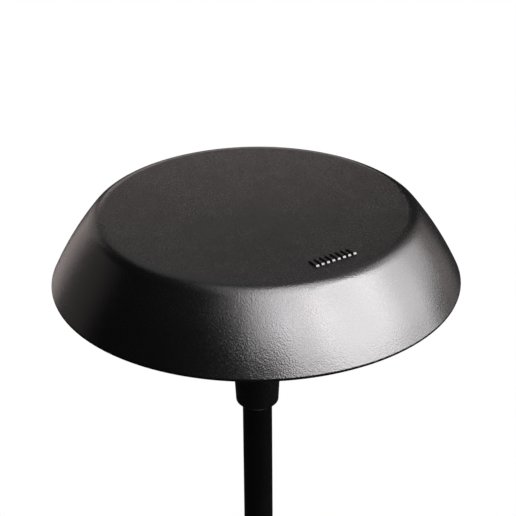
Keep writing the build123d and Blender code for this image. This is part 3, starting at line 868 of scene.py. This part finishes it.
def make_led_wires():
    """Insulated wires with a bared, tinned end in a bead of solder on the board."""
    shape = bmesh.new()
    board_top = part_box("led_board")[1].z
    for low, high in solids_of("led_wires"):
        radius = (high.x - low.x) / 2
        place = Matrix.Translation(((low.x + high.x) / 2, (low.y + high.y) / 2, 0.0))
        strip = board_top - 0.3 * MM
        sleeve = [
            (0.0, low.z),
            (0.9 * radius, low.z),
            (radius, low.z + 0.1 * MM),
            (radius, strip - 0.1 * MM),
            (0.9 * radius, strip),
            (0.0, strip),
        ]
        lathe(shape, sleeve, 20, place)
        bead = [
            (0.0, strip),
            (0.45 * radius, strip),
            (0.45 * radius, board_top),
            (0.98 * radius, board_top + 0.02 * MM),
            (0.8 * radius, board_top + 0.16 * MM),
            (0.5 * radius, board_top + 0.28 * MM),
            (0.35 * radius, high.z - 0.02 * MM),
            (0.0, high.z),
        ]
        lathe(shape, bead, 20, place, 1)
    materials = [MATERIALS["wire_insulation"], EXTRA_MATERIALS["tinned"]]
    make_piece("led_wires_soldered", shape, "led_wires", materials)


# Camera, lights and stage


def make_camera():
    data = bpy.data.cameras.new("camera")
    data.lens = VIEW_LENS
    data.sensor_width = VIEW_SENSOR
    camera = bpy.data.objects.new("camera", data)
    bpy.context.scene.collection.objects.link(camera)
    back = Vector((0.0, -math.cos(VIEW_ELEVATION), math.sin(VIEW_ELEVATION)))
    camera.location = VIEW_CENTRE + VIEW_DISTANCE * back
    towards = VIEW_CENTRE + VIEW_AIM_OFFSET - camera.location
    camera.rotation_mode = "QUATERNION"
    roll = Quaternion((0.0, 0.0, 1.0), VIEW_ROLL)
    camera.rotation_quaternion = towards.to_track_quat("-Z", "Y") @ roll
    bpy.context.scene.camera = camera


def direction(azimuth, elevation):
    """Unit vector from the lamp; azimuth 0 is the camera's side and 90 its right."""
    a, e = math.radians(azimuth), math.radians(elevation)
    return Vector((math.sin(a) * math.cos(e), -math.cos(a) * math.cos(e), math.sin(e)))


def add_light(name, azimuth, elevation, width, height, radiance, tint):
    """Soft rectangular panel that faces the lamp; its strongest channel has the radiance given."""
    data = bpy.data.lights.new(name, "AREA")
    data.shape = "RECTANGLE"
    data.size = width
    data.size_y = height
    data.color = tint
    data.energy = radiance * math.pi * width * height
    light = bpy.data.objects.new(name, data)
    bpy.context.scene.collection.objects.link(light)
    away = direction(azimuth, elevation)
    light.location = LIGHT_CENTRE + LIGHT_DISTANCE * away
    light.rotation_mode = "QUATERNION"
    light.rotation_quaternion = (-away).to_track_quat("-Z", "Y")
    light.visible_camera = False


def make_lights():
    for light in STUDIO_LIGHTS:
        add_light(*light)
    world = bpy.data.worlds.new("world")
    world.use_nodes = True
    background = world.node_tree.nodes["Background"]
    background.inputs["Color"].default_value = (1.0, 1.0, 1.0, 1.0)
    background.inputs["Strength"].default_value = WORLD_STRENGTH
    bpy.context.scene.world = world


def glowing_surface(name):
    """Matt surface that glows white."""
    s = Surface(name, (0.0, 0.0, 0.0), 0.9)
    s.set("Specular IOR Level", 0.0)
    s.set("Emission Color", (1.0, 1.0, 1.0, 1.0))
    s.set("Emission Strength", 1.0)
    return s


def floor_material():
    """White floor that glows evenly away from the lamp and is clear from below. Near the foot its
    glow is dimmed, a painted shadow, and the lamps cast a real shadow on its matt part there; under
    the foot the glow stops, a painted shade.
    """
    s = glowing_surface("floor_white")
    from_foot = s.node("VectorMath", {0: s.where()}, operation="LENGTH").outputs["Value"]
    open_floor = s.spread(from_foot, 0.0, 1.0, *SHADOW_ZONE)
    s.set("Base Color", s.mix(open_floor, (0.35, 0.35, 0.35), (0.0, 0.0, 0.0)))
    glow_outside_foot = s.spread(from_foot, 0.0, 1.0, *UNDER_FOOT_SHADE)
    # Painted shade: the glow is dimmed near the foot and stopped under it.
    s.set("Emission Strength", s.maths("MULTIPLY", glow_outside_foot, s.spread(open_floor, 0.3, 1.0)))
    clear = s.node("BsdfTransparent")
    side = s.node("NewGeometry").outputs["Backfacing"]
    mix = s.node("MixShader", {0: side, 1: s.shader.outputs["BSDF"], 2: clear.outputs["BSDF"]})
    s.tree.links.new(mix.outputs["Shader"], s.tree.nodes["Material Output"].inputs["Surface"])
    return s.material


def stage_piece(name, shape, material):
    """Turns a bmesh into a piece of the surroundings that the lamp doesn't mirror."""
    mesh = bpy.data.meshes.new(name)
    shape.to_mesh(mesh)
    shape.free()
    mesh.materials.append(material)
    piece = bpy.data.objects.new(name, mesh)
    bpy.context.scene.collection.objects.link(piece)
    piece.visible_glossy = False
    return piece


def make_stage():
    """White floor under the lamp, and a white dome that only the camera sees."""
    floor = bmesh.new()
    bmesh.ops.create_circle(floor, cap_ends=True, segments=96, radius=FLOOR_RADIUS)
    for face in floor.faces:
        if face.normal.z < 0:
            face.normal_flip()
    stage_piece("floor", floor, floor_material())
    dome = bmesh.new()
    bmesh.ops.create_icosphere(dome, subdivisions=4, radius=DOME_RADIUS)
    surround = stage_piece("surround", dome, glowing_surface("surround_white").material)
    surround.visible_diffuse = False
    surround.visible_transmission = False
    surround.visible_shadow = False


bpy.context.scene.view_settings.view_transform = "Standard"
make_camera()
finish_cad_nodes()
make_rods()
make_nuts()
make_leds()
make_driver_chip()
make_capacitors()
make_inductor()
make_plug()
make_led_wires()
make_lights()
make_stage()
